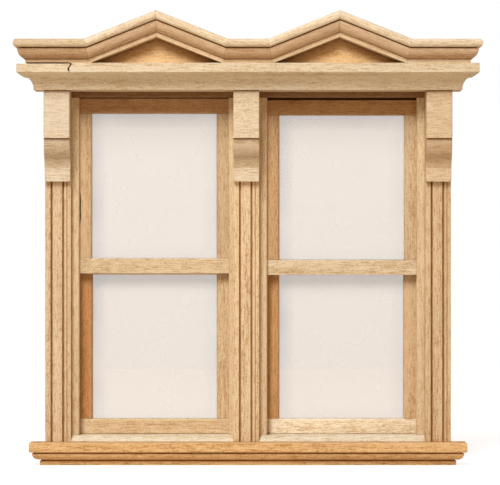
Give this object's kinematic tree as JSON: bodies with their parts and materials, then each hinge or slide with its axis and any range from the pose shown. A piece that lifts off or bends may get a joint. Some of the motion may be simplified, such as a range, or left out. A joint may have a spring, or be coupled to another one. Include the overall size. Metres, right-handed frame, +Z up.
{
  "type": "sash window",
  "caption": "Miniature wooden double sash window with its frame: sliding sashes in a grooved box frame, fluted pilasters, corbels, a coved cornice, a gabled crown moulding and a sill apron.",
  "frame": {"origin": "on the wall face, at the middle of the underside of the frame that goes into the wall", "axes": "+X to the right seen from the front, +Y back into the wall, +Z up"},
  "size_m": [0.164, 0.0266, 0.16],
  "materials": {
    "frame_wood": "bare basswood, milled",
    "sash_wood": "bare basswood, milled",
    "casing_wood": "bare basswood, fluted",
    "corbel_wood": "bare basswood, sanded",
    "moulding_wood": "bare basswood, moulded",
    "board_wood": "bare basswood, sawn",
    "apron_wood": "bare basswood, moulded",
    "clear_sheet": "milky acrylic sheet"
  },
  "bodies": {
    "frame": {"left_jamb": "frame_wood", "right_jamb": "frame_wood", "centre_post": "frame_wood", "head_board": "frame_wood", "sill_board": "frame_wood", "left_pilaster": "casing_wood", "centre_pilaster": "casing_wood", "right_pilaster": "casing_wood", "left_corbel": "corbel_wood", "centre_corbel": "corbel_wood", "right_corbel": "corbel_wood", "cornice_front": "moulding_wood", "cornice_left_return": "moulding_wood", "cornice_right_return": "moulding_wood", "pediment_board": "board_wood", "crown_left": "moulding_wood", "crown_left_rake_up": "moulding_wood", "crown_left_rake_down": "moulding_wood", "crown_middle": "moulding_wood", "crown_right_rake_up": "moulding_wood", "crown_right_rake_down": "moulding_wood", "crown_right": "moulding_wood", "crown_left_return": "moulding_wood", "crown_right_return": "moulding_wood", "apron_front": "apron_wood", "apron_left_return": "apron_wood", "apron_right_return": "apron_wood"},
    "left_upper_sash": {"left_upper_top_rail": "sash_wood", "left_upper_meeting_rail": "sash_wood", "left_upper_left_stile": "sash_wood", "left_upper_right_stile": "sash_wood", "left_upper_pane": "clear_sheet"},
    "left_lower_sash": {"left_lower_meeting_rail": "sash_wood", "left_lower_bottom_rail": "sash_wood", "left_lower_left_stile": "sash_wood", "left_lower_right_stile": "sash_wood", "left_lower_pane": "clear_sheet"},
    "right_upper_sash": {"right_upper_top_rail": "sash_wood", "right_upper_meeting_rail": "sash_wood", "right_upper_left_stile": "sash_wood", "right_upper_right_stile": "sash_wood", "right_upper_pane": "clear_sheet"},
    "right_lower_sash": {"right_lower_meeting_rail": "sash_wood", "right_lower_bottom_rail": "sash_wood", "right_lower_left_stile": "sash_wood", "right_lower_right_stile": "sash_wood", "right_lower_pane": "clear_sheet"}
  },
  "joints": [
    {"name": "left_upper_slide", "type": "slide", "parent": "frame", "child": "left_upper_sash", "axis": [0, 0, -1], "range_m": [-0.0012, 0.0575]},
    {"name": "left_lower_slide", "type": "slide", "parent": "frame", "child": "left_lower_sash", "axis": [0, 0, 1], "range_m": [0, 0.0587]},
    {"name": "right_upper_slide", "type": "slide", "parent": "frame", "child": "right_upper_sash", "axis": [0, 0, -1], "range_m": [-0.0018, 0.0569]},
    {"name": "right_lower_slide", "type": "slide", "parent": "frame", "child": "right_lower_sash", "axis": [0, 0, 1], "range_m": [0, 0.0587]}
  ]
}
